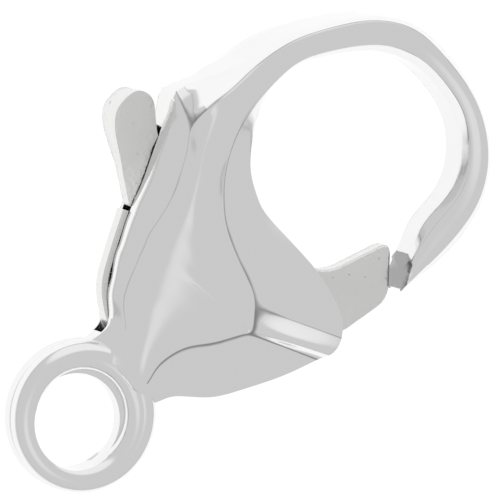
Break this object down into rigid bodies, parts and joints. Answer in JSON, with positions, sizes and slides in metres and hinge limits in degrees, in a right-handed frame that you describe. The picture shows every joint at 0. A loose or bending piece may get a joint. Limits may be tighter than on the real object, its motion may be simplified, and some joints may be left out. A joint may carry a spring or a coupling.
{
  "type": "lobster clasp",
  "caption": "Small polished silver lobster clasp with a ring eye, a domed split body, a curved hook and a sprung thumb lever whose gate closes the hook.",
  "frame": {"origin": "centre of the eye, at half of the clasp's thickness", "axes": "+X from the eye to the far side of the hook, +Y toward the thumb lever, +Z along the eye's bore, out of the face that the picture shows"},
  "size_m": [0.0151, 0.009, 0.003],
  "materials": {
    "silver": "polished sterling silver",
    "silver_cast": "tumbled sterling silver, slightly pitted",
    "spring_steel": "pale rolled strip"
  },
  "bodies": {
    "body": {"body": "silver", "leaf_spring": "spring_steel", "pivot_pin": "silver"},
    "lever": {"lever": "silver_cast"}
  },
  "joints": [
    {"name": "lever_pivot", "type": "hinge", "parent": "body", "child": "lever", "pos_m": [0.0058, 0.00148, 0], "axis": [0, 0, 1], "range_deg": [0, 25], "stiffness_Nm_per_rad": 0.002, "deforming": ["leaf_spring"]}
  ]
}
